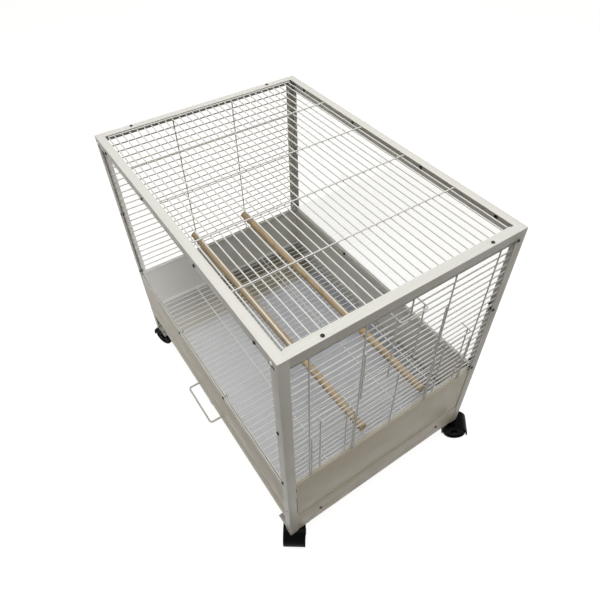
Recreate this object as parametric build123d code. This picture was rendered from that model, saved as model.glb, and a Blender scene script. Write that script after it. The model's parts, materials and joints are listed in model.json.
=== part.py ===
from build123d import *
import math
import os

# A bird cage on casters: an angle-iron frame with clear front and back panels, a wire top and
# wire ends, three drop-down doors in the +X end, two perches and a tray that slides out at -Y.
# Sizes are in millimetres. +X points to the door end, +Y to the back and +Z up.
# The model is drawn about the middle of the frame and moved at the end, so that the origin
# lies on the floor under the middle of the whole cage.

# Frame
frame_length = 660.0
frame_depth = 457.0
frame_height = 568.0
caster_height = 57.0
frame_wall = 1.5
post_leg = 18.0
rail_top_width = 15.5
rail_drop = 17.5

# Sheet metal round the base
sheet_wall = 1.2
skirt_height = 203.0
skirt_foot = 5.0
skirt_ledge = 8.0
base_rail_height = 63.0
base_rail_shelf = 20.0
base_rail_end_gap = 0.4
base_shelf_setback = 17.0
front_skirt_foot = 104.0
lap_play = 0.3

# Clear panels and the channels that hold their lower edges
clear_thickness = 3.0
clear_play = 0.2
clear_side_gap = 2.5
clear_top_gap = 0.3
channel_wall = 1.8
channel_height = 16.0
channel_rise = 3.0
channel_floor = 4.0

# Wire mesh
wire = 2.5
top_pitch = 15.03
left_pitch = 15.2
right_pitch = 16.1
top_cross_pitch = 125.0
top_edge_wire_y = 207.0
top_end_wire_inset = 9.25
wire_end_gap = 1.6
row_top_gap = 6.5
end_stile_inset = 9.3
left_stile_y = 69.0

# Doors in the +X end, placed by rows counted from the perches' row
bay_inner_y = 85.0
bay_outer_y = 180.0
door_gap = 1.0
door_stile_inset = 2.0
hinge_play = 0.1
hinge_rise = 5.5
hinge_curl = 250.0
upper_hinge_row = 7
rows_between_doors = 2
rows_above_upper_door = 5
rows_above_upper_latch = 3
latch_span = 53.0
latch_out = 7.5
latch_in = 17.0
latch_corner = 4.5

# Perches
perch_diameter = 15.9
perch_height = 250.0
perch_spacing = 140.0
perch_skew = 5.0
perch_end_gap = 0.2
perch_slot_play = 0.1

# Runners and the floor grate that lies on their ledges
runner_ledge_height = 81.0
runner_ledge_width = 9.0
runner_web_height = 21.0
runner_web_width = 15.1
runner_shelf = 15.0
grate_wire = 2.0
grate_pitch = 15.25
grate_side_gap = 0.3
grate_end_inset = 2.3
grate_cross_wire = 3.0
grate_cross_count = 5
grate_cross_inset = 24.0

# Tray
tray_floor_height = 10.0
tray_lift = 0.3
tray_side_gap = 2.5
tray_back_gap = 5.0
tray_depth = 56.0
tray_wall = 1.0
tray_hem = 7.0
tray_setback = 13.3
tray_front_foot = 60.0
tray_front_gap = 1.0
tray_front_top_gap = 2.0
pull_wire = 4.0
pull_span = 108.0
pull_reach = 27.0
pull_corner = 6.0
pull_height = 65.0
tab_radius = 12.0
tab_thickness = 3.0
tab_lap = 4.5
tab_hole = 4.5
tab_drop = 4.0

# Screws, nuts and clips
screw_shank = 3.6
screw_head = 6.2
screw_head_height = 2.0
screw_crown = 3.0
screw_edge = 0.9
screw_play = 0.15
nut_across = 6.4
nut_height = 2.6
rail_screw_x = (100.0, 275.0)
rail_screw_drop = 12.5
post_screw_edge = 4.5
post_screw_rise = 14.0
channel_screw_x = 100.0
channel_screw_drop = 5.5
top_screw_y = 156.4
top_screw_edge = 6.3
side_screw_edge = 3.5
clip_thickness = 1.6
clip_width = 10.0
clip_length = 17.0
top_clip_width = 9.0
top_clip_length = 26.0
base_screw_y = 156.0
base_screw_height = 36.0

# Casters: the front pair stands further in than the back pair
caster_insets = {"front": 28.0, "back": 14.0}
plate_size = 45.0
plate_thickness = 2.0
plate_cut = 16.0
stem_diameter = 8.0
stem_play = 0.08
stem_reach = 26.0
collar_diameter = 14.0
collar_height = 1.9
stem_nut_across = 13.0
stem_nut_height = 6.0
wheel_diameter = 52.0
wheel_width = 15.5
wheel_play = 0.5
wheel_edge = 1.2
wheel_round = 6.0
wheel_rim = 2.0
wheel_dish = 2.2
wheel_hub = 8.0
axle_diameter = 6.0
axle_play = 0.08
web_width = 12.0
web_pad = 6.0
hood_gap = 1.2
hood_wall = 2.0
hood_round = 1.5
hood_lip = 0.6
hood_skirt_drop = 4.0
boss_diameter = 17.0
boss_foot = 3.0
boss_top_gap = 0.1
trail = 20.0
caster_turns = {
    "front_left": 200.0,
    "front_right": -36.0,
    "back_left": 165.0,
    "back_right": 50.0,
}

half_x = frame_length / 2
half_y = frame_depth / 2
foot_z = caster_height
top_z = foot_z + frame_height
ledge_z = foot_z + skirt_height
channel_top_z = ledge_z + channel_rise
channel_foot_z = channel_top_z - channel_height
perch_z = foot_z + perch_height
axle_z = wheel_diameter / 2
rail_under_z = top_z - frame_wall
inner_x = half_x - frame_wall
inner_y = half_y - frame_wall
post_edge_x = half_x - post_leg
post_edge_y = half_y - post_leg
stile_x = inner_x - wire / 2
row_x = stile_x - wire
skirt_inner_x = inner_x - sheet_wall
cross_z = rail_under_z - wire / 2
long_z = cross_z - wire
clear_outer_y = half_y - channel_wall - clear_play
clear_inner_y = clear_outer_y - clear_thickness
channel_inner_y = clear_inner_y - clear_play - channel_wall
row_end_y = clear_inner_y - wire_end_gap
end_stile_y = inner_y - end_stile_inset + wire / 2
row_limit_z = rail_under_z - row_top_gap
leg_x = skirt_inner_x - sheet_wall
tray_x = skirt_inner_x - runner_web_width - sheet_wall - tray_side_gap
plate_back_y = -half_y + sheet_wall
tray_front_y = plate_back_y + tray_setback
tray_back_y = inner_y - tray_back_gap
tray_foot_z = foot_z + tray_floor_height
tray_rim_z = tray_foot_z + tray_depth
grate_cross_z = foot_z + runner_ledge_height + grate_cross_wire / 2
grate_z = grate_cross_z + grate_cross_wire / 2 + grate_wire / 2
end_names = {"left": -1, "right": 1}
face_names = {"front": -1, "back": 1}


def row_z(pitch, row):
    """Height of a horizontal wire; row 0 carries the perches."""
    return perch_z + pitch * row


def end_rows(pitch, lowest_z):
    """Row numbers that fit between a lowest height and the top wires."""
    low = -math.floor((perch_z - lowest_z - wire / 2) / pitch)
    high = math.floor((row_limit_z - perch_z) / pitch)
    return range(low, high + 1)


lower_hinge_z = ledge_z + hinge_rise
left_rows = end_rows(left_pitch, ledge_z)
right_rows = end_rows(right_pitch, lower_hinge_z + wire + hinge_play + wire / 2)
upper_hinge_z = row_z(right_pitch, upper_hinge_row)
lower_door_top_row = upper_hinge_row - rows_between_doors
upper_door_top_row = right_rows[-1] - rows_above_upper_door
lower_latch_z = upper_hinge_z + right_pitch / 2
upper_latch_z = row_z(right_pitch, right_rows[-1] - rows_above_upper_latch) + right_pitch / 2
bay_middle_y = (bay_inner_y + bay_outer_y) / 2
lower_half_width = (bay_outer_y - bay_inner_y - wire) / 2 - door_gap
upper_half_width = bay_inner_y - wire / 2 - door_gap
row_heights = {
    "left": [row_z(left_pitch, row) for row in left_rows],
    "right": [lower_hinge_z] + [row_z(right_pitch, row) for row in right_rows],
}


def box(x0, x1, y0, y1, z0, z1):
    """A block between two corners, given in any order."""
    size = (abs(x1 - x0), abs(y1 - y0), abs(z1 - z0))
    return Pos((x0 + x1) / 2, (y0 + y1) / 2, (z0 + z1) / 2) * Box(*size)


def bar(plane, points, length):
    """A straight bar of the outline given by points, standing on the plane."""
    outline = make_face(Polyline(*points, close=True))
    return extrude(plane * outline, amount=length, dir=plane.z_dir)


def rod(start, end, diameter):
    """A round rod between two points."""
    run = Vector(*end) - Vector(*start)
    plane = Plane(origin=start, z_dir=run)
    return Solid.make_cylinder(diameter / 2, run.length, plane)


def row_wires(x, z, spans):
    """Wires along Y at one height, one for each span."""
    return [rod((x, y0, z), (x, y1, z), wire) for y0, y1 in spans]


def stile(x, y, z0, z1):
    """An upright wire."""
    return rod((x, y, z0), (x, y, z1), wire)


def corners():
    """Names and signs of the four corners."""
    for face, sy in face_names.items():
        for end, sx in end_names.items():
            yield f"{face}_{end}", sx, sy


def holes(points, axis, diameter, reach):
    """Drills for screw holes, through the points along an axis."""
    step = Vector(*axis) * reach
    return [rod(Vector(*p) - step, Vector(*p) + step, diameter) for p in points]


def drilled(piece, points, axis):
    """A piece with screw holes."""
    drill = screw_shank + 2 * screw_play
    return piece - holes(points, axis, drill, post_leg)


def screw(point, inward, grip):
    """A pan-head screw: the head stands on the point, the shank goes inward."""
    into = Vector(*inward)
    seat = Plane(origin=point, z_dir=into * -1)
    profile = [
        (0, 0),
        (screw_head / 2, 0),
        (screw_head / 2, screw_edge),
        (screw_crown / 2, screw_head_height),
        (0, screw_head_height),
    ]
    head_face = make_face(Polyline(*profile, close=True))
    head = revolve(Plane.XZ * head_face, Axis.Z)
    shank = Solid.make_cylinder(screw_shank / 2, grip, Plane(origin=point, z_dir=into))
    return seat.location * head + shank


def nut(point, inward):
    """A closed hexagon nut that starts at the point."""
    plane = Plane(origin=point, z_dir=inward)
    return extrude(plane * RegularPolygon(nut_across / 2, 6, major_radius=False), nut_height)


def post(sx, sy):
    """A corner post of angle iron, with its corner outward."""
    points = [
        (0, 0),
        (post_leg, 0),
        (post_leg, frame_wall),
        (frame_wall, frame_wall),
        (frame_wall, post_leg),
        (0, post_leg),
    ]
    placed = [(sx * (half_x - a), sy * (half_y - b)) for a, b in points]
    body = bar(Plane.XY.offset(foot_z), placed, rail_under_z - foot_z)
    body = drilled(body, post_panel_screws(sx, sy), (0, 1, 0))
    if sy > 0:
        body = drilled(body, side_screws(sx), (1, 0, 0))
    return body


def post_panel_screws(sx, sy):
    """Places of the screws that hold a clear panel to a post."""
    x = sx * (post_edge_x + post_screw_edge)
    low_z = ledge_z + post_screw_rise
    return [(x, sy * half_y, z) for z in (low_z, (ledge_z + top_z) / 2)]


def side_screws(sx):
    """Places of the screws that hold a wire end to its back post, each between two rows."""
    heights = row_heights["right" if sx > 0 else "left"]
    room = wire + screw_shank + 2 * screw_play
    gaps = [(a + b) / 2 for a, b in zip(heights, heights[1:]) if b - a > room]
    middle = min(gaps, key=lambda z: abs(z - (ledge_z + top_z) / 2))
    y = post_edge_y + side_screw_edge
    return [(sx * half_x, y, z) for z in (gaps[0], middle, gaps[-1])]


def rail_screws(sy):
    """Places of the screws in the drop flange of the front or back rail."""
    z = top_z - rail_screw_drop
    return [(s * x, sy * half_y, z) for x in rail_screw_x for s in (-1, 1)]


def channel_screws(sy):
    """Places of the screws through a channel and its clear panel."""
    z = channel_top_z - channel_screw_drop
    return [(s * channel_screw_x, sy * half_y, z) for s in (-1, 1)]


def long_rail(sy):
    """Front or back top rail: its top flange runs the whole length, over the posts."""
    y_out, y_in = sy * half_y, sy * (half_y - rail_top_width)
    top = box(-half_x, half_x, y_out, y_in, rail_under_z, top_z)
    drop = box(-post_edge_x, post_edge_x, y_out, sy * inner_y, top_z - rail_drop, rail_under_z)
    return drilled(top + drop, rail_screws(sy), (0, 1, 0))


def end_rail(sx):
    """Left or right top rail, between the top flanges of the long rails."""
    y = half_y - rail_top_width
    top = box(sx * half_x, sx * (half_x - rail_top_width), -y, y, rail_under_z, top_z)
    drop = box(
        sx * half_x, sx * inner_x, -post_edge_y, post_edge_y, top_z - rail_drop, rail_under_z
    )
    return drilled(top + drop, top_screws(sx), (0, 0, 1))


def top_screws(sx):
    """Places of the screws in the top of an end rail."""
    x = sx * (half_x - top_screw_edge)
    return [(x, s * top_screw_y, top_z) for s in (-1, 1)]


def panel_channel(sy):
    """U-shaped rail that the clear panel stands in."""
    points = [
        (half_y, channel_foot_z),
        (half_y, channel_top_z),
        (half_y - channel_wall, channel_top_z),
        (half_y - channel_wall, channel_foot_z + channel_floor),
        (channel_inner_y + channel_wall, channel_foot_z + channel_floor),
        (channel_inner_y + channel_wall, channel_top_z),
        (channel_inner_y, channel_top_z),
        (channel_inner_y, channel_foot_z),
    ]
    placed = [(sy * y, z) for y, z in points]
    body = bar(Plane.YZ.offset(-post_edge_x), placed, 2 * post_edge_x)
    return drilled(body, channel_screws(sy), (0, 1, 0))


def clear_panel(sy):
    """Clear sheet behind the posts, with its lower edge in the channel."""
    x = inner_x - clear_side_gap
    sheet = box(
        -x,
        x,
        sy * clear_outer_y,
        sy * clear_inner_y,
        channel_foot_z + channel_floor,
        rail_under_z - clear_top_gap,
    )
    points = rail_screws(sy) + channel_screws(sy)
    for sx in (-1, 1):
        points += post_panel_screws(sx, sy)
    return drilled(sheet, points, (0, 1, 0))


def panel_screws(sy):
    """All screws of one clear panel, and their nuts."""
    inward = (0, -sy, 0)
    grip = half_y - clear_inner_y
    long_grip = half_y - channel_inner_y
    places = [(p, grip) for p in rail_screws(sy)]
    places += [(p, long_grip) for p in channel_screws(sy)]
    for sx in (-1, 1):
        places += [(p, grip) for p in post_panel_screws(sx, sy)]
    screws = [screw(p, inward, reach) for p, reach in places]
    nuts = [nut((x, y - sy * reach, z), inward) for (x, y, z), reach in places]
    return screws, nuts


def front_skirt():
    """Fixed sheet between the front posts, above the tray."""
    return box(
        -post_edge_x,
        post_edge_x,
        -half_y,
        -half_y + sheet_wall,
        foot_z + front_skirt_foot,
        channel_foot_z,
    )


def back_skirt():
    """Sheet between the back posts, with a shelf along its foot."""
    foot = foot_z + skirt_foot
    sheet = box(
        -post_edge_x, post_edge_x, half_y - sheet_wall, half_y, foot, channel_foot_z
    )
    shelf_x = post_edge_x - base_shelf_setback
    shelf = box(
        -shelf_x, shelf_x, half_y - base_rail_shelf, half_y, foot, foot + sheet_wall
    )
    return sheet + shelf


def side_skirt(sx):
    """Sheet behind the post flanges, folded inward along the top to carry the wire end."""
    foot = foot_z + skirt_foot + sheet_wall
    side_y = inner_y - lap_play
    sheet = box(sx * inner_x, sx * skirt_inner_x, -side_y, side_y, foot, ledge_z)
    ledge_y = clear_inner_y - lap_play
    ledge = box(
        sx * inner_x,
        sx * (inner_x - skirt_ledge),
        -ledge_y,
        ledge_y,
        ledge_z - sheet_wall,
        ledge_z,
    )
    return drilled(sheet + ledge, base_screws(sx), (1, 0, 0))


def base_screws(sx):
    """Places of the screws through base rail, skirt and runner."""
    x = sx * (inner_x + sheet_wall)
    return [(x, s * base_screw_y, foot_z + base_screw_height) for s in (-1, 1)]


def base_rail(sx):
    """Stiffening angle along the foot of a side skirt."""
    foot = foot_z + skirt_foot
    side_y = post_edge_y - base_rail_end_gap
    outer = sx * (inner_x + sheet_wall)
    sheet = box(outer, sx * inner_x, -side_y, side_y, foot, foot + base_rail_height)
    shelf_y = side_y - base_shelf_setback
    shelf = box(
        outer, sx * (inner_x - base_rail_shelf), -shelf_y, shelf_y, foot, foot + sheet_wall
    )
    return drilled(sheet + shelf, base_screws(sx), (1, 0, 0))


def runner(sx):
    """Folded runner: a ledge for the grate, a leg on the skirt, a fence beside the tray
    and a shelf under it."""
    shelf_z = tray_foot_z - tray_lift
    ledge = foot_z + runner_ledge_height
    web = foot_z + runner_web_height
    ledge_in = skirt_inner_x - runner_ledge_width
    fence_out = skirt_inner_x - runner_web_width
    fence_in = fence_out - sheet_wall
    points = [
        (skirt_inner_x, web - sheet_wall),
        (skirt_inner_x, ledge),
        (ledge_in, ledge),
        (ledge_in, ledge - sheet_wall),
        (leg_x, ledge - sheet_wall),
        (leg_x, web),
        (fence_in, web),
        (fence_in, shelf_z),
        (fence_in - runner_shelf, shelf_z),
        (fence_in - runner_shelf, shelf_z - sheet_wall),
        (fence_out, shelf_z - sheet_wall),
        (fence_out, web - sheet_wall),
    ]
    placed = [(sx * x, z) for x, z in points]
    end_y = inner_y - lap_play
    body = bar(Plane.XZ.offset(-end_y), placed, 2 * end_y)
    return drilled(body, base_screws(sx), (1, 0, 0))


def top_wires():
    """Wire top: long wires along X under four cross wires and two end wires."""
    end_x = half_x - top_screw_edge - screw_shank / 2 - screw_play
    count = math.floor((top_edge_wire_y - wire) / top_pitch)
    places = [top_pitch * k for k in range(-count, count + 1)]
    places += [-top_edge_wire_y, top_edge_wire_y]
    wires = [rod((-end_x, y, long_z), (end_x, y, long_z), wire) for y in places]
    end_wire_x = end_x - top_end_wire_inset
    half_count = math.ceil((end_wire_x - 2 * wire) / top_cross_pitch - 1 / 2)
    crossings = [(top_cross_pitch * (k + 1 / 2), clear_inner_y - wire_end_gap)
                 for k in range(half_count)]
    crossings.append((end_wire_x, top_edge_wire_y + wire / 2))
    for x, reach in crossings:
        for s in (-1, 1):
            wires.append(rod((s * x, -reach, cross_z), (s * x, reach, cross_z), wire))
    return wires


def left_wires():
    """Wire end without doors."""
    wires = []
    for z in row_heights["left"]:
        wires += row_wires(-row_x, z, [(-row_end_y, row_end_y)])
    for y in (-end_stile_y, -left_stile_y, left_stile_y, end_stile_y):
        wires.append(stile(-stile_x, y, ledge_z, rail_under_z))
    return wires


def right_row_spans(row):
    """Stretches of a row of the door end, which is open where a door hangs."""
    inner, outer = bay_inner_y, bay_outer_y
    edge = wire / 2
    if row <= lower_door_top_row:
        return [
            (-row_end_y, -outer + edge),
            (-inner - edge, inner + edge),
            (outer - edge, row_end_y),
        ]
    if upper_hinge_row < row <= upper_door_top_row:
        return [(-row_end_y, -inner + edge), (inner - edge, row_end_y)]
    return [(-row_end_y, row_end_y)]


def right_wires():
    """Wire end with the openings of three doors."""
    wires = row_wires(row_x, lower_hinge_z, [(-row_end_y, row_end_y)])
    for row in right_rows:
        wires += row_wires(row_x, row_z(right_pitch, row), right_row_spans(row))
    for y in (-end_stile_y, -bay_outer_y, -bay_inner_y, bay_inner_y, bay_outer_y, end_stile_y):
        wires.append(stile(stile_x, y, ledge_z, rail_under_z))
    wires.append(stile(stile_x, 0, ledge_z, upper_hinge_z + wire / 2))
    above = row_z(right_pitch, upper_door_top_row + 1) - wire / 2
    wires.append(stile(stile_x, 0, above, rail_under_z))
    return wires


def hinge_stile(x, y, hinge_z, top):
    """An upright door wire whose foot is curled round the hinge wire."""
    radius = x - row_x

    def curl_point(angle):
        turn = math.radians(angle)
        return (row_x + radius * math.cos(turn), y, hinge_z - radius * math.sin(turn))

    upright = Line((x, y, top), (x, y, hinge_z))
    curl = ThreePointArc(curl_point(0), curl_point(hinge_curl / 2), curl_point(hinge_curl))
    path = Wire([upright.edge(), curl.edge()])
    start = Plane(origin=path @ 0, z_dir=path % 0)
    return sweep(start * Circle(wire / 2), path=path)


def latch(x, y, low_z, latch_z):
    """Two uprights that carry a U: the bar is the finger pull, its ends reach inside."""
    half = latch_span / 2
    path = FilletPolyline(
        (x - latch_in, y - half, latch_z),
        (x + latch_out, y - half, latch_z),
        (x + latch_out, y + half, latch_z),
        (x - latch_in, y + half, latch_z),
        radius=latch_corner,
    )
    start = Plane(origin=path @ 0, z_dir=path % 0)
    loop = sweep(start * Circle(wire / 2), path=path)
    for s in (-1, 1):
        loop += stile(x, y + s * half, low_z, latch_z)
    return loop


def door(y, half_width, hinge_z, rows, latch_z):
    """A drop-down wire door, hinged on a wire of the wall at its foot."""
    x = row_x + wire + hinge_play
    door_row_x = x - wire
    edge = half_width - door_stile_inset
    top = row_z(right_pitch, rows[-1]) + wire / 2
    wires = []
    for row in rows:
        wires += row_wires(door_row_x, row_z(right_pitch, row), [(y - half_width, y + half_width)])
    wires += [hinge_stile(x, y + s * edge, hinge_z, top) for s in (-1, 1)]
    wires.append(latch(x, y, row_z(right_pitch, rows[0]) - wire / 2, latch_z))
    return wires


def perch(y):
    """A loose dowel, a little askew, whose slotted ends sit on a wire of each end."""
    end_x = stile_x - wire / 2 - perch_end_gap
    slot_x = row_x - wire / 2 - perch_slot_play
    start = (-half_x, y - perch_skew, perch_z)
    end = (half_x, y + perch_skew, perch_z)
    reach = y - half_y, y + half_y
    body = rod(start, end, perch_diameter) & box(-end_x, end_x, *reach, 0, top_z)
    half_slot = wire / 2 + perch_slot_play
    for s in (-1, 1):
        body -= box(s * slot_x, s * half_x, *reach, perch_z - half_slot, perch_z + half_slot)
    return body


def tray_pan():
    """Deep folded pan with a flattened hem; its front rim is folded out to the front plate."""
    wall, hem = tray_wall, 2 * tray_wall
    outer = box(-tray_x, tray_x, tray_front_y, tray_back_y, tray_foot_z, tray_rim_z)
    inner = box(
        -tray_x + wall,
        tray_x - wall,
        tray_front_y + wall,
        tray_back_y - wall,
        tray_foot_z + wall,
        tray_rim_z - tray_hem,
    )
    mouth = box(
        -tray_x + hem,
        tray_x - hem,
        tray_front_y + wall,
        tray_back_y - hem,
        tray_rim_z - tray_hem,
        tray_rim_z,
    )
    flange = box(-tray_x, tray_x, plate_back_y, tray_front_y, tray_rim_z - wall, tray_rim_z)
    return outer - inner - mouth + flange


def tray_front():
    """Front plate of the tray, between the posts."""
    x = post_edge_x - tray_front_gap
    return box(
        -x,
        x,
        -half_y,
        plate_back_y,
        foot_z + tray_front_foot,
        foot_z + front_skirt_foot - tray_front_top_gap,
    )


def tray_pull():
    """Bent wire handle on the tray front."""
    z = foot_z + pull_height
    half = pull_span / 2
    out_y = -half_y - pull_reach + pull_wire / 2
    path = FilletPolyline(
        (-half, -half_y, z),
        (-half, out_y, z),
        (half, out_y, z),
        (half, -half_y, z),
        radius=pull_corner,
    )
    start = Plane(origin=path @ 0, z_dir=path % 0)
    return sweep(start * Circle(pull_wire / 2), path=path)


def tray_tab():
    """Half-round finger tab under the tray front, with a strip that laps behind the plate."""
    foot = foot_z + tray_front_foot
    plane = Plane(
        origin=(0, plate_back_y + tab_thickness, foot), x_dir=(1, 0, 0), z_dir=(0, -1, 0)
    )
    outline = Circle(tab_radius) & Pos(0, -tab_radius) * Rectangle(2 * tab_radius, 2 * tab_radius)
    outline += Pos(0, tab_lap / 2) * Rectangle(2 * tab_radius, tab_lap)
    outline -= Pos(0, -tab_drop - tab_hole / 2) * Circle(tab_hole / 2)
    return extrude(plane * outline, tab_thickness)


def floor_grate():
    """Wire floor over the tray: wires along Y on cross wires that lie on the runner ledges."""
    cross_x = leg_x - grate_side_gap
    reach = inner_y - grate_end_inset
    count = math.floor((cross_x - grate_wire / 2) / grate_pitch)
    wires = []
    for k in range(-count, count + 1):
        x = k * grate_pitch
        wires.append(rod((x, -reach, grate_z), (x, reach, grate_z), grate_wire))
    edge = reach - grate_cross_inset
    for k in range(grate_cross_count):
        y = -edge + 2 * edge * k / (grate_cross_count - 1)
        start, end = (-cross_x, y, grate_cross_z), (cross_x, y, grate_cross_z)
        wires.append(rod(start, end, grate_cross_wire))
    return wires


def side_clip(x, y, z, sx):
    """Clip that a side screw draws against the rows."""
    face = row_x - wire / 2
    return box(
        sx * face,
        sx * (face - clip_thickness),
        y - clip_width / 2,
        y + clip_width / 2,
        z - clip_length / 2,
        z + clip_length / 2,
    )


def top_clip(x, y):
    """Clip under the ends of the long wires, drawn up by a top screw."""
    z = long_z - wire / 2
    return box(
        x - top_clip_width / 2,
        x + top_clip_width / 2,
        y - top_clip_length / 2,
        y + top_clip_length / 2,
        z - clip_thickness,
        z,
    )


def mount_plate(sx, sy):
    """Corner plate welded inside the foot of a post."""
    size = plate_size
    points = [(0, 0), (size, 0), (size, size - plate_cut), (size - plate_cut, size), (0, size)]
    placed = [(sx * (inner_x - a), sy * (inner_y - b)) for a, b in points]
    plate = bar(Plane.XY.offset(foot_z), placed, plate_thickness)
    x, y = caster_place(sx, sy)
    hole = rod((x, y, 0), (x, y, top_z), stem_diameter)
    return plate - hole


def caster_place(sx, sy):
    """Swivel axis of a corner's caster."""
    inset = caster_insets["back" if sy > 0 else "front"]
    return sx * (half_x - inset), sy * (half_y - inset)


def caster_stem(x, y):
    """Stem with a collar under the plate and a nut over it."""
    top = foot_z + plate_thickness + stem_nut_height
    stem = rod((x, y, foot_z - stem_reach), (x, y, top), stem_diameter)
    collar = rod((x, y, foot_z - collar_height), (x, y, foot_z), collar_diameter)
    plane = Plane.XY.offset(foot_z + plate_thickness)
    outline = Pos(x, y) * RegularPolygon(stem_nut_across / 2, 6, major_radius=False)
    return stem + collar + extrude(plane * outline, stem_nut_height)


def across_axle(radius, y0, y1):
    """A disc round the axle of a caster, between two places along it."""
    return rod((trail, y0, axle_z), (trail, y1, axle_z), 2 * radius)


def caster_housing():
    """Hood over the wheels, the web between them and the boss that turns on the stem."""
    inner_r = wheel_diameter / 2 + hood_gap
    outer_r = inner_r + hood_wall
    half_web = web_width / 2
    half_width = half_web + wheel_play + wheel_width + hood_lip
    cover = across_axle(outer_r, -half_width, half_width) - box(
        trail - outer_r,
        trail + outer_r,
        -half_width,
        half_width,
        axle_z - outer_r,
        axle_z - hood_skirt_drop,
    )
    cover = fillet(cover.edges().filter_by(GeomType.CIRCLE), hood_round)
    hub_pad = rod((trail, -half_web, axle_z), (trail, half_web, axle_z), 2 * web_pad)
    boss_top = foot_z - collar_height - boss_top_gap
    boss_low = foot_z - stem_reach - boss_foot
    boss = rod((0, 0, boss_low), (0, 0, boss_top), boss_diameter)
    body = cover + boss + hub_pad
    for s in (-1, 1):
        body -= across_axle(inner_r, s * half_web, s * (half_width + hood_lip))
    body -= rod((0, 0, foot_z - stem_reach), (0, 0, foot_z), stem_diameter + 2 * stem_play)
    return body - across_axle(axle_diameter / 2, -half_width, half_width)


def caster_axle():
    """Axle pin through the web and both wheels."""
    half = web_width / 2 + wheel_width - wheel_play
    return across_axle(axle_diameter / 2, -half, half)


def caster_wheel(side):
    """One of a caster's two wheels: a tread rounded outward and a dished outer face."""
    r = wheel_diameter / 2
    bore = axle_diameter / 2 + axle_play
    near = web_width / 2 + wheel_play
    far = near + wheel_width
    dish_r = r - wheel_round - wheel_rim
    tread = RadiusArc((r, far - wheel_round), (r - wheel_round, far), -wheel_round)
    inner_side = Polyline((bore, far), (bore, near), (r - wheel_edge, near),
                          (r, near + wheel_edge), (r, far - wheel_round))
    outer_side = Polyline((r - wheel_round, far), (dish_r, far),
                          (dish_r - wheel_dish, far - wheel_dish),
                          (wheel_hub, far - wheel_dish), (wheel_hub, far), (bore, far))
    outline = make_face(inner_side + tread + outer_side)
    wheel = revolve(outline, Axis.Y)
    if side < 0:
        wheel = mirror(wheel, about=Plane.XZ)
    return Pos(trail, 0, axle_z) * wheel


def build():
    """Every sub-part by name, drawn about the middle of the frame."""
    parts = {}
    for name, sx, sy in corners():
        parts[f"{name}_post"] = post(sx, sy)
    for face, sy in face_names.items():
        parts[f"{face}_top_rail"] = long_rail(sy)
        parts[f"{face}_panel_channel"] = panel_channel(sy)
        parts[f"{face}_clear_panel"] = clear_panel(sy)
        screws, nuts = panel_screws(sy)
        parts[f"{face}_panel_screws"] = screws
        parts[f"{face}_panel_nuts"] = nuts
    parts["front_skirt"] = front_skirt()
    parts["back_skirt"] = back_skirt()
    for end, sx in end_names.items():
        parts[f"{end}_top_rail"] = end_rail(sx)
        parts[f"{end}_skirt"] = side_skirt(sx)
        parts[f"{end}_base_rail"] = base_rail(sx)
        parts[f"{end}_tray_runner"] = runner(sx)
    parts["top_wire_panel"] = top_wires()
    parts["left_wire_panel"] = left_wires()
    parts["right_wire_panel"] = right_wires()
    parts["front_perch"] = perch(-perch_spacing / 2)
    parts["back_perch"] = perch(perch_spacing / 2)

    top_places = top_screws(-1) + top_screws(1)
    top_grip = top_z - long_z + wire / 2 + clip_thickness
    parts["top_panel_screws"] = [screw(p, (0, 0, -1), top_grip) for p in top_places]
    side_grip = half_x - row_x + wire / 2 + clip_thickness
    side_places = [(p, sx) for sx in (-1, 1) for p in side_screws(sx)]
    parts["end_panel_screws"] = [screw(p, (-sx, 0, 0), side_grip) for p, sx in side_places]
    base_grip = inner_x + sheet_wall - leg_x
    base_places = [(p, sx) for sx in (-1, 1) for p in base_screws(sx)]
    parts["runner_screws"] = [screw(p, (-sx, 0, 0), base_grip) for p, sx in base_places]
    parts["runner_nuts"] = [
        nut((x - sx * base_grip, y, z), (-sx, 0, 0)) for (x, y, z), sx in base_places
    ]
    clips = []
    for x, y, z in top_places:
        clips.append(top_clip(x, y) - holes([(x, y, z)], (0, 0, 1), screw_shank, post_leg))
    for (x, y, z), sx in side_places:
        clips.append(side_clip(x, y, z, sx) - holes([(x, y, z)], (1, 0, 0), screw_shank, post_leg))
    parts["wire_clips"] = clips

    parts["tray_pan"] = tray_pan()
    parts["tray_front"] = tray_front()
    parts["tray_pull"] = tray_pull()
    parts["tray_tab"] = tray_tab()
    parts["floor_grate"] = floor_grate()

    lower_rows = range(right_rows[0], lower_door_top_row + 1)
    upper_rows = range(upper_hinge_row + 1, upper_door_top_row + 1)
    lower = (lower_half_width, lower_hinge_z, lower_rows, lower_latch_z)
    parts["front_feeder_door"] = door(-bay_middle_y, *lower)
    parts["back_feeder_door"] = door(bay_middle_y, *lower)
    parts["upper_door"] = door(0, upper_half_width, upper_hinge_z, upper_rows, upper_latch_z)

    parts["caster_plates"] = [mount_plate(sx, sy) for _, sx, sy in corners()]
    parts["caster_stems"] = [caster_stem(*caster_place(sx, sy)) for _, sx, sy in corners()]
    housing, axle = caster_housing(), caster_axle()
    near_wheel, far_wheel = caster_wheel(-1), caster_wheel(1)
    for name, sx, sy in corners():
        spot = Pos(*caster_place(sx, sy), 0) * Rot(0, 0, caster_turns[name])
        parts[f"{name}_caster_housing"] = spot * housing
        parts[f"{name}_caster_axle"] = spot * axle
        parts[f"{name}_wheel_a"] = spot * near_wheel
        parts[f"{name}_wheel_b"] = spot * far_wheel
    return parts


def as_compound(shapes):
    """One shape from a shape or a list of shapes."""
    return Compound(list(shapes)) if isinstance(shapes, list) else shapes


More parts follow.
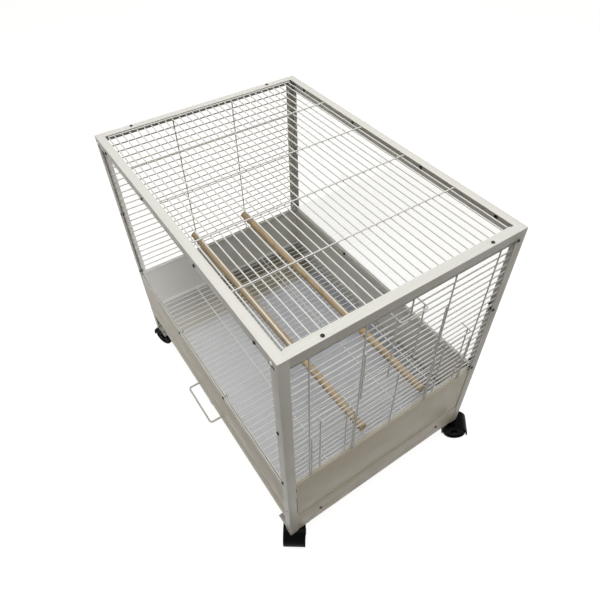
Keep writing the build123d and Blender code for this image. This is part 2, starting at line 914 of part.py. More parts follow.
def main():
    """Build, centre and write every sub-part."""
    parts = {name: as_compound(shapes) for name, shapes in build().items()}
    boxes = [shape.bounding_box() for shape in parts.values()]
    low_x, high_x = min(b.min.X for b in boxes), max(b.max.X for b in boxes)
    low_y, high_y = min(b.min.Y for b in boxes), max(b.max.Y for b in boxes)
    middle = Vector((low_x + high_x) / 2, (low_y + high_y) / 2)
    shift = Pos(-middle.X, -middle.Y, 0)
    os.makedirs("parts", exist_ok=True)
    for name, shape in parts.items():
        export_step(shift * shape, f"parts/{name}.step")
    print(f"moved by {-middle.X:.3f}, {-middle.Y:.3f}; {len(parts)} sub-parts")


main()
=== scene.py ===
"""Looks of the rolling bird cage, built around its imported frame. Lengths are in metres."""

import json
import math

import bmesh
import bpy
from mathutils import Matrix, Vector

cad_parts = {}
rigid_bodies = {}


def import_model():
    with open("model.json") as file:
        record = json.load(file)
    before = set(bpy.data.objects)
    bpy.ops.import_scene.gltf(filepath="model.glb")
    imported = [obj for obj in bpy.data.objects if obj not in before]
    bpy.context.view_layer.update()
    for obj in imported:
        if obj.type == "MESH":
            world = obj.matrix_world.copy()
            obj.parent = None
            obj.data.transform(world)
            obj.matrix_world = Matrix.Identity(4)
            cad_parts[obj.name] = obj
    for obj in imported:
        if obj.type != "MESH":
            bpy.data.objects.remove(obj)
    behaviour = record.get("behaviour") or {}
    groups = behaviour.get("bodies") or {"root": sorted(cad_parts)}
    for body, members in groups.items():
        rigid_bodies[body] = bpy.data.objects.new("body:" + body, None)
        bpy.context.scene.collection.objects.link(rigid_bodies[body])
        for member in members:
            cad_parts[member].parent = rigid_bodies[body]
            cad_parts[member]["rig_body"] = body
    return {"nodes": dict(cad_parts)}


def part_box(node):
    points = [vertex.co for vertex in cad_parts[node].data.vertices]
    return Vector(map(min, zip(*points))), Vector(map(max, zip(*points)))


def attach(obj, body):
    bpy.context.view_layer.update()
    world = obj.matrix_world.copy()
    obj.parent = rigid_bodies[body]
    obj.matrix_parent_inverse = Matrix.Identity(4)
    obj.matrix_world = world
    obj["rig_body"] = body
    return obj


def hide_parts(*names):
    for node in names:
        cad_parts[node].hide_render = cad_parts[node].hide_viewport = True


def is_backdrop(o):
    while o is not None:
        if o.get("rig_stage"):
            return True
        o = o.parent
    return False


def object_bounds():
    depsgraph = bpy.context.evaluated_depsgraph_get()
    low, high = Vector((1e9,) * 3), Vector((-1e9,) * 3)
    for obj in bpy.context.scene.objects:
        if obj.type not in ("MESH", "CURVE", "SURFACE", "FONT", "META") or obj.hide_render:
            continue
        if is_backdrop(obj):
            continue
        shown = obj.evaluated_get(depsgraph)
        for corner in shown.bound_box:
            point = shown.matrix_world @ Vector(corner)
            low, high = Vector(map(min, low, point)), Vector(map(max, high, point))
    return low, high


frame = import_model()
cad_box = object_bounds()

MM = 0.001
Z_AXIS = Vector((0, 0, 1))
CORNERS = ("front_left", "front_right", "back_left", "back_right")
FACES = ("front", "back")
ENDS = ("left", "right")

# Camera, as the photograph was taken
CAMERA_PLACE = (0.6623, -0.4114, 1.1400)
LOOK_AZIMUTH = 146.21
LOOK_DOWN = 46.03
CAMERA_ROLL = -0.80
CAMERA_LENS = 31.47
CAMERA_SENSOR = 36.0
CAMERA_SHIFT = (-0.0094, -0.0147)
CAMERA_REACH = (0.05, 60.0)

# Light
LIT_POINT = (0, 0, 0.4)
LAMP_PLACE = (0.05, 0.0, 2.6)
LAMP_SIZE = 2.4
LAMP_POWER = 47.5
SIDE_LAMP_PLACE = (-0.8, -2.4, 1.6)
SIDE_LAMP_SIZE = 1.2
SIDE_LAMP_POWER = 0.6
WORLD_COLOUR = (0.14, 0.134, 0.124, 1.0)
FLOOR_COLOUR = (0.31, 0.285, 0.25, 1.0)
FLOOR_WHITE = 0.93
FLOOR_SIZE = 16.0
WHITE = (1, 1, 1, 1)
# Rays below this diffuse depth have met no matt surface
MATT_DEPTH = 0.5

# Paint and edges
PAINT_ROUND = 0.35 * MM
PANEL_ROUND = 0.25 * MM
PAINT_SEGMENTS = 2
SAME_POINT = 0.002 * MM
ROUND_WITHIN = 5 * SAME_POINT
FLAT_ANGLE = math.radians(1.0)
SMOOTH_ANGLE = math.radians(35.0)
BEVEL_ANGLE = math.radians(40.0)

# Painted shade: a brownish, darker band at the left end of the tray floor, where the left skirt's
# shadow falls
END_SHADE_REACH = 75 * MM

# Welds where two wires cross, as shares of the thinner wire's diameter
WELD_WIDTH = 0.62
WELD_HEIGHT = 0.42
WELD_GAP = 0.2 * MM
WELD_SIDES = 8
WELD_RINGS = 5

# Screws: the outline of a head from its rim to its crown, as radius and height
HEAD_OUTLINE = (
    (3.1, 0.0), (3.1, 0.55), (2.95, 0.95), (2.5, 1.42), (1.8, 1.78), (1.0, 1.95), (0.0, 2.0),
)
HEAD_HEIGHT = HEAD_OUTLINE[-1][1] * MM
HEAD_SIDES = 28
HEAD_SPIN = 0.7
SHANK_RADIUS = 1.8 * MM
SHANK_SIDES = 14
RECESS_REACH = 1.9 * MM
RECESS_WIDTH = 0.8 * MM
RECESS_DEPTH = 1.2 * MM

# Strips behind the long top rails, against which the clear panels are screwed
STRIP_DEPTH = 25.0 * MM
STRIP_THICKNESS = 1.2 * MM

# Screws and gaps at the ends of the front top rail; each gap is a thin dark sheet on the rail,
# painted shade for the opening there
CORNER_INSET = 14.0 * MM
CORNER_DROP = 10.5 * MM
GAP_LENGTH = 15.0 * MM
GAP_HEIGHT = 4.0 * MM
GAP_DEPTH = 0.2 * MM
GAP_DROP = 5.5 * MM

# Worn paint on the front right post: the face it is on, then millimetres in from the
# post's corner, height of the middle above the foot, width and length
WEAR_MARKS = (
    ("end", 18.0, 187.0, 1.1, 12.0), ("end", 18.1, 122.0, 1.0, 66.0),
    ("front", 6.3, 218.0, 1.8, 3.2), ("front", 7.1, 207.0, 1.4, 3.8),
    ("front", 7.4, 106.0, 1.8, 4.0),
)
WEAR_DEPTH = 0.12 * MM

# Caps on the hubs of the wheels: their outline as shares of radius and rise
CAP_RADIUS = 7.4 * MM
CAP_RISE = 0.9 * MM
CAP_SIDES = 28
CAP_OUTLINE = ((0.0, -1.0), (1.0, -1.0), (1.0, 0.3), (0.86, 0.8), (0.5, 1.0), (0.0, 1.0))

# Screen colours of the coats: light, dark and, on sheet metal, scuffed
COAT_COLOURS = ((232, 231, 224), (225, 223, 214), (199, 195, 184))
# Warmer, darker copy of the coat for the outer front and right skirts, tray front and base rails:
# painted shade, the dimmer warm light on these side faces
SHADED_SIDE_COLOURS = ((226, 218, 198), (217, 208, 187), (192, 182, 161))
WIRE_COLOURS = ((240, 240, 236), (231, 230, 224))
# Darker copy of the wire coat for the left end panel: painted shade, the shade that falls on those
# wires
SHADED_WIRE_COLOURS = ((208, 203, 190), (193, 187, 173))
# Lighter copy of the wire coat for the floor grate: painted light, its wires standing bright over
# the tray
LIT_WIRE_COLOURS = ((248, 248, 245), (240, 240, 236))

# Clear sheets: tint and index of refraction. The front one shows hardly any reflection.
SHEETS = {
    "front": ((0.93, 0.93, 0.92, 1.0), 1.06),
    "back": ((0.95, 0.96, 0.955, 1.0), 1.49),
}


# Materials


def colour(red, green, blue):
    """A linear colour from the 0 to 255 values of a screen colour."""
    def linear(value):
        share = value / 255
        return share / 12.92 if share <= 0.04045 else ((share + 0.055) / 1.055) ** 2.4

    return (linear(red), linear(green), linear(blue), 1.0)


def put(tree, value, socket):
    """A socket takes another node's output or a plain value."""
    if isinstance(value, bpy.types.NodeSocket):
        tree.links.new(value, socket)
    else:
        socket.default_value = value


def arithmetic(tree, operation, first, second):
    """The output of a Math node."""
    made = tree.nodes.new("ShaderNodeMath")
    made.operation = operation
    put(tree, first, made.inputs[0])
    put(tree, second, made.inputs[1])
    return made.outputs[0]


class Finish:
    """A material with one Principled shader and helpers that add nodes to it."""

    def __init__(self, name, **values):
        self.material = bpy.data.materials.new(name)
        self.material.use_nodes = True
        self.tree = self.material.node_tree
        self.shader = self.tree.nodes["Principled BSDF"]
        self.output = self.tree.nodes["Material Output"]
        for socket, value in values.items():
            self.shader.inputs[socket.replace("_", " ")].default_value = value
        place = self.tree.nodes.new("ShaderNodeTexCoord")
        self.place = place.outputs["Object"]

    def link(self, source, target):
        self.tree.links.new(source, target)

    def node(self, kind, **values):
        """A node whose sockets take values or other nodes' outputs."""
        made = self.tree.nodes.new(kind)
        for socket, value in values.items():
            put(self.tree, value, made.inputs[socket.replace("_", " ")])
        return made

    def stretched(self, scale):
        """Object coordinates, scaled along each axis."""
        made = self.node("ShaderNodeMapping", Vector=self.place)
        made.inputs["Scale"].default_value = scale
        return made.outputs["Vector"]

    def noise(self, scale, detail=2.0, roughness=0.5, place=None):
        made = self.node(
            "ShaderNodeTexNoise",
            Vector=place or self.place, Scale=scale, Detail=detail, Roughness=roughness,
        )
        return made.outputs["Fac"]

    def ramp(self, source, low, high, out_low=0.0, out_high=1.0):
        """Source between low and high, spread over a new range."""
        made = self.node("ShaderNodeMapRange", Value=source)
        for socket, value in zip((1, 2, 3, 4), (low, high, out_low, out_high)):
            made.inputs[socket].default_value = value
        return made.outputs["Result"]

    def math(self, operation, first, second):
        return arithmetic(self.tree, operation, first, second)

    def mix(self, share, first, second):
        """A colour between two colours."""
        made = self.tree.nodes.new("ShaderNodeMix")
        made.data_type = "RGBA"
        for socket, value in zip(("Factor_Float", "A_Color", "B_Color"), (share, first, second)):
            put(self.tree, value, next(s for s in made.inputs if s.identifier == socket))
        return next(s for s in made.outputs if s.identifier == "Result_Color")

    def bump(self, height, depth, strength=1.0):
        made = self.node("ShaderNodeBump", Height=height, Distance=depth, Strength=strength)
        self.link(made.outputs["Normal"], self.shader.inputs["Normal"])

    def set(self, socket, source):
        self.link(source, self.shader.inputs[socket])

    def let_light_through(self):
        """Lamps reach what is behind this surface."""
        path = self.tree.nodes.new("ShaderNodeLightPath")
        clear = self.tree.nodes.new("ShaderNodeBsdfTransparent")
        both = self.tree.nodes.new("ShaderNodeMixShader")
        self.link(path.outputs["Is Shadow Ray"], both.inputs["Fac"])
        self.link(self.shader.outputs["BSDF"], both.inputs[1])
        self.link(clear.outputs["BSDF"], both.inputs[2])
        self.link(both.outputs["Shader"], self.output.inputs["Surface"])


def powder_coat(name, colours):
    """Cream powder coat on sheet metal: fine orange peel, faint clouds and scuffs."""
    light, dark, scuff = (colour(*values) for values in colours)
    made = Finish(name, Roughness=0.42)
    clouds = made.noise(7.0, 3.0)
    scuffs = made.ramp(made.noise(60.0, 4.0, 0.7), 0.60, 0.72)
    base = made.mix(clouds, light, dark)
    made.set("Base Color", made.mix(made.math("MULTIPLY", scuffs, 0.25), base, scuff))
    made.set("Roughness", made.ramp(made.noise(35.0, 3.0), 0.3, 0.7, 0.36, 0.50))
    made.bump(made.noise(1400.0, 2.0), 0.00012, 0.35)
    return made.material


def coated_wire(name, colours):
    """The same coat on wire, a little glossier and thicker."""
    light, dark = (colour(*values) for values in colours)
    made = Finish(name, Roughness=0.34)
    made.set("Base Color", made.mix(made.noise(25.0, 2.0), light, dark))
    made.bump(made.noise(700.0, 2.0), 0.00015, 0.35)
    return made.material


def clear_sheet(name, tint, index):
    """Clear acrylic with faint wiping marks."""
    made = Finish(name, Base_Color=tint, IOR=index, Transmission_Weight=1.0, Roughness=0.02)
    made.bump(made.noise(4.0, 2.0), 0.0008, 0.05)
    made.let_light_through()
    return made.material


def tray_coating():
    """Pale, slightly blue tray with a soft sheen, duller patches and painted shade: a brownish
    band at its left end.
    """
    made = Finish("tray_coating", Roughness=0.2)
    patches = made.noise(9.0, 4.0)
    base = made.mix(patches, colour(216, 218, 224), colour(196, 199, 206))
    along = made.node("ShaderNodeSeparateXYZ", Vector=made.place).outputs["X"]
    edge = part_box("tray_pan")[0][0]
    # Painted shade: the floor turns brownish towards its left end.
    end_shade = made.ramp(along, edge + END_SHADE_REACH, edge + END_SHADE_REACH / 2)
    made.set("Base Color", made.mix(end_shade, base, colour(170, 163, 143)))
    made.set("Roughness", made.ramp(patches, 0.3, 0.7, 0.16, 0.30))
    made.bump(made.noise(14.0, 2.0), 0.003, 0.25)
    return made.material


def grey_tab():
    made = Finish("grey_tab", Roughness=0.5)
    made.set("Base Color", made.mix(made.noise(90.0), colour(84, 81, 74), colour(66, 63, 58)))
    made.bump(made.noise(1200.0), 0.0001, 0.3)
    return made.material


def perch_wood():
    """Dowel with long grain, darker pores and rubbed patches."""
    made = Finish("perch_wood", Roughness=0.75, Specular_IOR_Level=0.2)
    grain = made.noise(1.0, 6.0, 0.65, made.stretched((14.0, 420.0, 420.0)))
    fine = made.noise(1.0, 3.0, 0.6, made.stretched((60.0, 1500.0, 1500.0)))
    pores = made.ramp(fine, 0.58, 0.70)
    patches = made.noise(28.0, 4.0, 0.6)
    base = made.mix(grain, colour(224, 202, 166), colour(194, 166, 128))
    base = made.mix(made.math("MULTIPLY", pores, 0.5), base, colour(126, 98, 70))
    worn = made.math("MULTIPLY", made.ramp(patches, 0.52, 0.68), 0.5)
    made.set("Base Color", made.mix(worn, base, colour(142, 112, 84)))
    made.bump(grain, 0.0003, 0.4)
    return made.material


def black_fasteners():
    made = Finish("black_fasteners", Roughness=0.38, Metallic=0.6)
    dark, light = (0.018, 0.018, 0.019, 1), (0.04, 0.038, 0.036, 1)
    made.set("Base Color", made.mix(made.noise(500.0), dark, light))
    made.bump(made.noise(2500.0), 0.00005, 0.3)
    return made.material


def bright_steel():
    made = Finish("bright_steel", Roughness=0.3, Metallic=1.0)
    light, dark = (0.62, 0.61, 0.59, 1), (0.50, 0.49, 0.47, 1)
    made.set("Base Color", made.mix(made.noise(180.0), light, dark))
    made.set("Roughness", made.ramp(made.noise(400.0), 0.3, 0.7, 0.22, 0.42))
    return made.material


def black_plastic():
    """Glossy moulded caster hood."""
    made = Finish("black_plastic", Roughness=0.26, Specular_IOR_Level=0.04)
    dark, light = (0.0015, 0.0018, 0.002, 1), (0.003, 0.0035, 0.004, 1)
    made.set("Base Color", made.mix(made.noise(40.0), dark, light))
    made.set("Roughness", made.ramp(made.noise(120.0, 3.0), 0.35, 0.7, 0.22, 0.36))
    made.bump(made.noise(1800.0), 0.00005, 0.25)
    return made.material


def black_tread():
    """Duller wheel plastic with floor dust on the tread."""
    made = Finish("black_tread", Roughness=0.48, Specular_IOR_Level=0.03)
    dust = made.math("MULTIPLY", made.ramp(made.noise(140.0, 4.0), 0.5, 0.75), 0.15)
    made.set("Base Color", made.mix(dust, (0.002, 0.002, 0.0022, 1), (0.02, 0.019, 0.018, 1)))
    made.bump(made.noise(900.0), 0.00008, 0.3)
    return made.material


def bare_edge_and_gap_shade():
    """Dark primer and rust where paint has gone, also used as painted shade in the gaps at the
    ends of the front top rail.
    """
    made = Finish("bare_edge_and_gap_shade", Roughness=0.8)
    made.set("Base Color", made.mix(made.noise(400.0), colour(58, 50, 40), colour(88, 76, 60)))
    return made.material


# Meshes


def body_of(node):
    return frame["nodes"][node]["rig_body"]


def linked(name, data):
    """A new object in the scene."""
    made = bpy.data.objects.new(name, data)
    bpy.context.scene.collection.objects.link(made)
    return made


def merged(node):
    """A bmesh of a CAD node, with the corners that its facets share joined."""
    mesh = bmesh.new()
    mesh.from_mesh(frame["nodes"][node].data)
    bmesh.ops.remove_doubles(mesh, verts=mesh.verts, dist=SAME_POINT)
    return mesh


def datablock(mesh, name):
    """A mesh datablock made from a bmesh, which is freed."""
    made = bpy.data.meshes.new(name)
    mesh.to_mesh(made)
    mesh.free()
    return made


def shells(node):
    """The separate closed shells of a CAD node, each as a list of points.

    They come in the order of the mesh's vertices, so that each run gives the same one.
    """
    mesh = merged(node)
    met, found = set(), []
    for start in mesh.verts:
        if start in met:
            continue
        met.add(start)
        shell = [start]
        for vertex in shell:
            for edge in vertex.link_edges:
                other = edge.other_vert(vertex)
                if other not in met:
                    met.add(other)
                    shell.append(other)
        found.append([v.co.copy() for v in shell])
    mesh.free()
    return found


def corners_of(points):
    low = Vector([min(p[i] for p in points) for i in range(3)])
    high = Vector([max(p[i] for p in points) for i in range(3)])
    return low, high


def smooth(mesh):
    """Smooth shading, with the sharper edges left sharp."""
    mesh.shade_smooth()
    mesh.set_sharp_from_angle(angle=SMOOTH_ANGLE)


def as_piece(name, mesh, material, body, slot, replaced=()):
    """An object on a CAD body that takes the given material. The slot argument is not used."""
    made = linked(name, mesh)
    mesh.materials.clear()
    mesh.materials.append(material)
    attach(made, body)
    if replaced:
        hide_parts(*replaced)
    return made


def round_edges(mesh, width, segments):
    """Bevel the sharp edges of a bmesh."""
    sharp = [e for e in mesh.edges if e.calc_face_angle(0.0) > BEVEL_ANGLE]
    bmesh.ops.bevel(
        mesh, geom=sharp, offset=width, offset_type="OFFSET", segments=segments,
        profile=0.5, affect="EDGES", clamp_overlap=True,
    )


def soften_node(node, material, slot):
    """A piece that stands for a node, with clean flat faces and softened edges."""
    mesh = merged(node)
    bmesh.ops.dissolve_limit(
        mesh, angle_limit=FLAT_ANGLE, verts=mesh.verts, edges=mesh.edges, delimit=set()
    )
    round_edges(mesh, PAINT_ROUND, PAINT_SEGMENTS)
    made = datablock(mesh, node + "_soft")
    smooth(made)
    return as_piece(node + "_finished", made, material, body_of(node), slot, [node])


def rods(node):
    """Straight wires of a node along an axis: (axis, centre, half length, radius)."""
    found = []
    for points in shells(node):
        low, high = corners_of(points)
        size = high - low
        axis = max(range(3), key=lambda i: size[i])
        across = [size[i] for i in range(3) if i != axis]
        if max(across) - min(across) < ROUND_WITHIN and size[axis] > 2 * max(across):
            found.append((axis, (low + high) / 2, size[axis] / 2, max(across) / 2))
    return found


def crossings(wires):
    """Points where two wires of different directions touch, with the way between them."""
    for i, (axis_a, mid_a, half_a, r_a) in enumerate(wires):
        for axis_b, mid_b, half_b, r_b in wires[i + 1:]:
            if axis_a == axis_b:
                continue
            third = 3 - axis_a - axis_b
            gap = mid_b[third] - mid_a[third]
            if abs(abs(gap) - r_a - r_b) > WELD_GAP:
                continue
            if abs(mid_b[axis_a] - mid_a[axis_a]) > half_a:
                continue
            if abs(mid_a[axis_b] - mid_b[axis_b]) > half_b:
                continue
            point = Vector((0, 0, 0))
            point[axis_a] = mid_b[axis_a]
            point[axis_b] = mid_a[axis_b]
            point[third] = mid_a[third] + math.copysign(r_a, gap)
            yield point, third, min(r_a, r_b)


def facing(place, outward):
    """The matrix that takes the origin to a place and the z axis to a direction."""
    return Matrix.Translation(place) @ outward.to_track_quat("Z", "Y").to_matrix().to_4x4()


def turned(mesh, outline, sides, place):
    """Add a closed lathed form: outline of (radius, height) pairs round the local z axis."""
    rings = []
    for radius, height in outline:
        if radius == 0.0:
            rings.append([mesh.verts.new(place @ Vector((0, 0, height)))])
            continue
        turns = [2 * math.pi * k / sides for k in range(sides)]
        rings.append([
            mesh.verts.new(place @ Vector((radius * math.cos(t), radius * math.sin(t), height)))
            for t in turns
        ])
    for low, high in zip(rings, rings[1:]):
        for k in range(sides):
            corner = [low[k % len(low)], low[(k + 1) % len(low)],
                      high[(k + 1) % len(high)], high[k % len(high)]]
            mesh.faces.new(list(dict.fromkeys(corner)))


def welds(node, material, slot):
    """Small beads where the wires of a node cross."""
    slopes = [math.pi * k / WELD_RINGS for k in range(1, WELD_RINGS)]
    ball = [(0.0, 1.0), *((math.sin(a), math.cos(a)) for a in slopes), (0.0, -1.0)]
    name = node + "_welds"
    mesh = bmesh.new()
    for point, third, radius in crossings(rods(node)):
        size = Vector((1, 1, 1)) * radius * 2 * WELD_WIDTH
        size[third] = radius * 2 * WELD_HEIGHT
        turned(mesh, ball, WELD_SIDES, Matrix.Translation(point) @ Matrix.Diagonal((*size, 1)))
    bmesh.ops.recalc_face_normals(mesh, faces=mesh.faces)
    made = datablock(mesh, name)
    made.shade_smooth()
    return as_piece(name, made, material, body_of(node), slot)


def block(mesh, low, high):
    """Add a box between two corners."""
    low, high = Vector(low), Vector(high)
    place = Matrix.Translation((low + high) / 2) @ Matrix.Diagonal((*(high - low), 1))
    bmesh.ops.create_cube(mesh, size=1.0, matrix=place)


def finished(mesh, name, width=0.0):
    """A mesh datablock, with its sharp edges softened where a width is given."""
    bmesh.ops.recalc_face_normals(mesh, faces=mesh.faces)
    if width:
        round_edges(mesh, width, 1)
    made = datablock(mesh, name)
    smooth(made)
    return made


def new_piece(name, mesh, material, body, slot, width=0.0, replaced=()):
    """A piece made from a bmesh."""
    return as_piece(name, finished(mesh, name, width), material, body, slot, replaced)


def screw_head():
    """A pan head with a cross recess, standing on the origin."""
    head, cut = bmesh.new(), bmesh.new()
    outline = [(0.0, 0.0)] + [(r * MM, h * MM) for r, h in HEAD_OUTLINE]
    turned(head, outline, HEAD_SIDES, Matrix())
    for reach, width in ((RECESS_REACH, RECESS_WIDTH / 2), (RECESS_WIDTH / 2, RECESS_REACH)):
        block(cut, (-reach, -width, HEAD_HEIGHT - RECESS_DEPTH), (reach, width, 2 * HEAD_HEIGHT))
    whole, tool = linked("head", finished(head, "head")), linked("recess", finished(cut, "recess"))
    carve = whole.modifiers.new("recess", "BOOLEAN")
    carve.operation, carve.object, carve.solver, carve.use_self = "DIFFERENCE", tool, "EXACT", True
    shape = bpy.data.meshes.new_from_object(
        whole.evaluated_get(bpy.context.evaluated_depsgraph_get())
    )
    for made in (whole, tool):
        bpy.data.objects.remove(made)
    return shape


def add_head(mesh, head, place):
    """Add a copy of the carved head to a bmesh."""
    copy = head.copy()
    copy.transform(place)
    mesh.from_mesh(copy)
    bpy.data.meshes.remove(copy)


def screws(node, head, material, outward):
    """Screws with carved heads in place of a node's; outward gives a head's direction."""
    mesh = bmesh.new()
    for number, points in enumerate(shells(node)):
        low, high = corners_of(points)
        middle, size = (low + high) / 2, high - low
        ahead = Vector(outward(middle))
        axis = max(range(3), key=lambda i: abs(ahead[i]))
        seat = middle + ahead * (size[axis] / 2 - HEAD_HEIGHT)
        place = facing(seat, ahead) @ Matrix.Rotation(number * HEAD_SPIN, 4, "Z")
        add_head(mesh, head, place)
        reach = size[axis] - HEAD_HEIGHT
        shank = [(0.0, 0.0), (SHANK_RADIUS, 0.0), (SHANK_RADIUS, -reach), (0.0, -reach)]
        turned(mesh, shank, SHANK_SIDES, place)
    made = datablock(mesh, node + "_carved")
    smooth(made)
    return as_piece(node + "_carved", made, material, body_of(node), "black_fasteners", [node])


def panel(face, material):
    """A clear sheet with polished edges. Its holes, which lie under the screws, are left out."""
    node = f"{face}_clear_panel"
    mesh = bmesh.new()
    block(mesh, *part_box(node))
    body, slot = body_of(node), "clear_sheet"
    return new_piece(node + "_sheet", mesh, material, body, slot, PANEL_ROUND, [node])


def strip(face, material):
    """The strip behind a long top rail that the nuts of its clear panel draw up."""
    low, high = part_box(f"{face}_clear_panel")
    left, right = (corner[0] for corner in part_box(f"{face}_panel_channel"))
    side = 1 if face == "front" else -1
    inner = high[1] if side > 0 else low[1]
    mesh = bmesh.new()
    block(
        mesh,
        (left, inner, high[2] - STRIP_DEPTH), (right, inner + side * STRIP_THICKNESS, high[2]),
    )
    name = f"{face}_panel_strip"
    return new_piece(name, mesh, material, "frame", "powder_coat", PAINT_ROUND)


def corner_screws(head, steel, dark):
    """The bright screw at each end of the front top rail, and below it a thin dark sheet as
    painted shade for the gap there.
    """
    low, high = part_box("front_top_rail")
    heads, gaps = bmesh.new(), bmesh.new()
    reach = Vector((GAP_LENGTH / 2, GAP_DEPTH, GAP_HEIGHT / 2))
    for end, side in ((low[0], 1), (high[0], -1)):
        middle = Vector((end + side * CORNER_INSET, low[1], high[2] - CORNER_DROP))
        add_head(heads, head, facing(middle, Vector((0, -1, 0))))
        below = middle - Vector((0, 0, GAP_DROP))
        block(gaps, below - reach, below + reach)
    new_piece("front_corner_screws", heads, steel, "frame", "bright_steel")
    # A dark sheet on the rail's face: painted shade standing in for the opening.
    new_piece("front_corner_gap_shade", gaps, dark, "frame", "powder_coat")


def wear_marks(material):
    """Dark slivers where the paint has gone from the front right post."""
    low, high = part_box("front_right_post")
    mesh = bmesh.new()
    for face, inset, height, width, length in WEAR_MARKS:
        if face == "end":
            middle = Vector((high[0], low[1] + inset * MM, low[2] + height * MM))
            reach = Vector((WEAR_DEPTH, width * MM / 2, length * MM / 2))
        else:
            middle = Vector((high[0] - inset * MM, low[1], low[2] + height * MM))
            reach = Vector((width * MM / 2, WEAR_DEPTH, length * MM / 2))
        block(mesh, middle - reach, middle + reach)
    new_piece("post_wear_marks", mesh, material, "frame", "powder_coat")


def hub_cap(corner, side, other, material):
    """A shallow cap over the hub of a wheel, on its outer face."""
    node = f"{corner}_wheel_{side}"
    middle, far = (sum((Vector(c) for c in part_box(f"{corner}_wheel_{name}")), Vector()) / 2
                   for name in (side, other))
    outward = (middle - far).normalized()
    points = [v.co for v in frame["nodes"][node].data.vertices]
    reach = max((p - middle).dot(outward) for p in points)
    outline = [(r * CAP_RADIUS, h * CAP_RISE) for r, h in CAP_OUTLINE]
    mesh = bmesh.new()
    turned(mesh, outline, CAP_SIDES, facing(middle + outward * reach, outward))
    return new_piece(node + "_cap", mesh, material, body_of(node), "black_tread")


# Stage


def make_camera():
    azimuth, down = math.radians(LOOK_AZIMUTH), math.radians(LOOK_DOWN)
    roll = math.radians(CAMERA_ROLL)
    ahead = Vector((
        math.cos(azimuth) * math.cos(down), math.sin(azimuth) * math.cos(down), -math.sin(down)
    ))
    level = ahead.cross(Z_AXIS).normalized()
    above = level.cross(ahead)
    right = level * math.cos(roll) + above * math.sin(roll)
    up = above * math.cos(roll) - level * math.sin(roll)
    data = bpy.data.cameras.new("camera")
    data.lens = CAMERA_LENS
    data.sensor_width = CAMERA_SENSOR
    data.sensor_fit = "HORIZONTAL"
    data.shift_x, data.shift_y = CAMERA_SHIFT
    data.clip_start, data.clip_end = CAMERA_REACH
    made = linked("camera", data)
    turn = Matrix((right, up, -ahead)).transposed().to_4x4()
    made.matrix_world = Matrix.Translation(CAMERA_PLACE) @ turn
    bpy.context.scene.camera = made


def seen_as_white(tree):
    """The share of rays that should meet a white background: camera, mirrored or refracted.

    Rays that a matt surface has scattered don't, so the background puts no light on the cage.
    """
    rays = tree.nodes.new("ShaderNodeLightPath").outputs
    straight = arithmetic(tree, "MAXIMUM", rays["Is Camera Ray"], rays["Is Glossy Ray"])
    straight = arithmetic(tree, "MAXIMUM", straight, rays["Is Transmission Ray"])
    unscattered = arithmetic(tree, "LESS_THAN", rays["Diffuse Depth"], MATT_DEPTH)
    return arithmetic(tree, "MULTIPLY", straight, unscattered)


def make_world():
    world = bpy.data.worlds.new("world")
    bpy.context.scene.world = world
    world.use_nodes = True
    tree = world.node_tree
    background = tree.nodes["Background"]
    tint = tree.nodes.new("ShaderNodeMixRGB")
    tint.inputs["Color1"].default_value = WORLD_COLOUR
    tint.inputs["Color2"].default_value = WHITE
    tree.links.new(seen_as_white(tree), tint.inputs["Fac"])
    tree.links.new(tint.outputs["Color"], background.inputs["Color"])


def make_floor():
    """A white floor that keeps the object's shadow."""
    material = bpy.data.materials.new("floor")
    material.use_nodes = True
    tree = material.node_tree
    tree.nodes.remove(tree.nodes["Principled BSDF"])
    output = tree.nodes["Material Output"]
    diffuse = tree.nodes.new("ShaderNodeBsdfDiffuse")
    diffuse.inputs["Color"].default_value = FLOOR_COLOUR
    glow = tree.nodes.new("ShaderNodeEmission")
    strength = arithmetic(tree, "MULTIPLY", seen_as_white(tree), FLOOR_WHITE)
    tree.links.new(strength, glow.inputs["Strength"])
    both = tree.nodes.new("ShaderNodeAddShader")
    tree.links.new(diffuse.outputs[0], both.inputs[0])
    tree.links.new(glow.outputs[0], both.inputs[1])
    tree.links.new(both.outputs[0], output.inputs["Surface"])
    mesh = bpy.data.meshes.new("floor")
    half = FLOOR_SIZE / 2
    corners = [(-half, -half, 0), (half, -half, 0), (half, half, 0), (-half, half, 0)]
    mesh.from_pydata(corners, [], [(0, 1, 2, 3)])
    mesh.materials.append(material)
    floor = linked("floor", mesh)
    floor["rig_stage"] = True


def make_lamp(name, place, size, power):
    data = bpy.data.lights.new(name, "AREA")
    data.shape = "SQUARE"
    data.size = size
    data.energy = power
    lamp = linked(name, data)
    lamp.location = place
    lamp.rotation_mode = "QUATERNION"
    lamp.rotation_quaternion = (Vector(LIT_POINT) - Vector(place)).to_track_quat("-Z", "Y")


def make_stage():
    scene = bpy.context.scene
    scene.view_settings.view_transform = "Standard"
    make_camera()
    make_world()
    make_floor()
    make_lamp("overhead_lamp", LAMP_PLACE, LAMP_SIZE, LAMP_POWER)
    make_lamp("side_lamp", SIDE_LAMP_PLACE, SIDE_LAMP_SIZE, SIDE_LAMP_POWER)


# The cage

SHEET_NODES = (
    [f"{corner}_post" for corner in CORNERS]
    + [f"{side}_{piece}" for side in FACES for piece in ("top_rail", "panel_channel", "skirt")]
    + [f"{end}_{piece}" for end in ENDS
       for piece in ("top_rail", "skirt", "base_rail", "tray_runner")]
    + ["tray_front"]
)
# Outer lower faces that take the warmer, darker copy of the coat as painted shade
SHADED_SIDE_NODES = ("front_skirt", "tray_front", "right_skirt", "left_base_rail", "right_base_rail")
WIRE_NODES = (
    "top_wire_panel", "left_wire_panel", "right_wire_panel",
    "front_feeder_door", "back_feeder_door", "upper_door", "floor_grate", "tray_pull",
)
WELDED_NODES = ("top_wire_panel", "left_wire_panel", "right_wire_panel", "floor_grate")


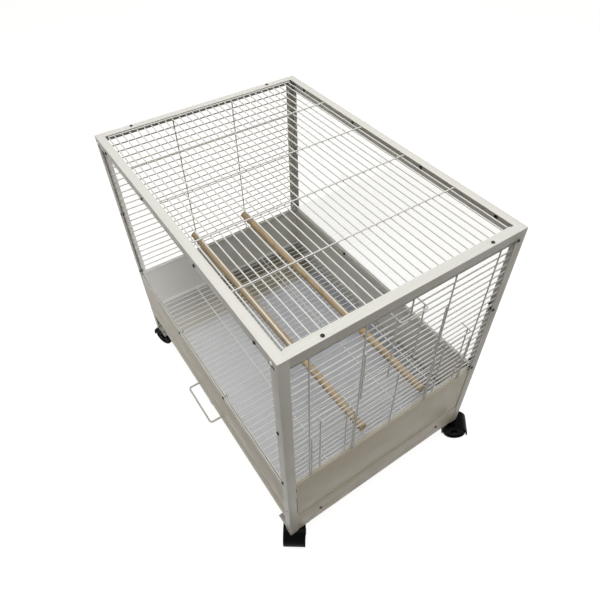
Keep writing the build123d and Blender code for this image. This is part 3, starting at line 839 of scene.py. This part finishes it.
def dress(node, material):
    """A CAD node keeps its form and gets a finish."""
    mesh = frame["nodes"][node].data
    mesh.materials.clear()
    mesh.materials.append(material)


def make_cage():
    coat = powder_coat("powder_coat", COAT_COLOURS)
    # The outer lower faces take a warmer, darker copy of the coat: painted shade.
    skirt = powder_coat("shaded_side_coat", SHADED_SIDE_COLOURS)
    wire = coated_wire("coated_wire", WIRE_COLOURS)
    # The left end panel's wires take a darker copy of the wire coat as painted shade.
    shaded_wire_coat = coated_wire("shaded_wire", SHADED_WIRE_COLOURS)
    # The floor grate's wires take a lighter copy of the wire coat as painted light.
    lit_wire_coat = coated_wire("lit_wire", LIT_WIRE_COLOURS)
    steel, black = bright_steel(), black_fasteners()
    for node in SHEET_NODES:
        soften_node(node, skirt if node in SHADED_SIDE_NODES else coat, "powder_coat")
    finish = {"left_wire_panel": shaded_wire_coat, "floor_grate": lit_wire_coat}
    for node in WIRE_NODES:
        dress(node, finish.get(node, wire))
    for node in WELDED_NODES:
        welds(node, finish.get(node, wire), "coated_wire")
    clear = {face: clear_sheet(face + "_sheet", *SHEETS[face]) for face in FACES}
    head = screw_head()
    for face, outward in (("front", -1), ("back", 1)):
        panel(face, clear[face])
        strip(face, coat)
        screws(f"{face}_panel_screws", head, black, lambda _, y=outward: (0, y, 0))
        dress(f"{face}_panel_nuts", black)
    screws("top_panel_screws", head, black, lambda _: (0, 0, 1))
    for node in ("end_panel_screws", "runner_screws"):
        screws(node, head, black, lambda middle: (math.copysign(1, middle.x), 0, 0))
    bare_and_gap_shade = bare_edge_and_gap_shade()
    # The primer and rust colour also serves as painted shade in the rail-end gaps.
    corner_screws(head, steel, bare_and_gap_shade)
    wear_marks(bare_and_gap_shade)
    wood = perch_wood()
    for face in FACES:
        dress(f"{face}_perch", wood)
    dress("runner_nuts", black)
    dress("caster_stems", steel)
    dress("wire_clips", coat)
    dress("caster_plates", coat)
    soften_node("tray_pan", tray_coating(), "tray_coating")
    dress("tray_tab", grey_tab())
    hood, tread = black_plastic(), black_tread()
    for corner in CORNERS:
        dress(f"{corner}_caster_housing", hood)
        dress(f"{corner}_caster_axle", steel)
        for side, other in ("ab", "ba"):
            dress(f"{corner}_wheel_{side}", tread)
            hub_cap(corner, side, other, tread)


def write_sizes():
    boxes = {"cad": cad_box, "visual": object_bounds()}
    plain = {name: [list(corner) for corner in box] for name, box in boxes.items()}


make_stage()
make_cage()
write_sizes()
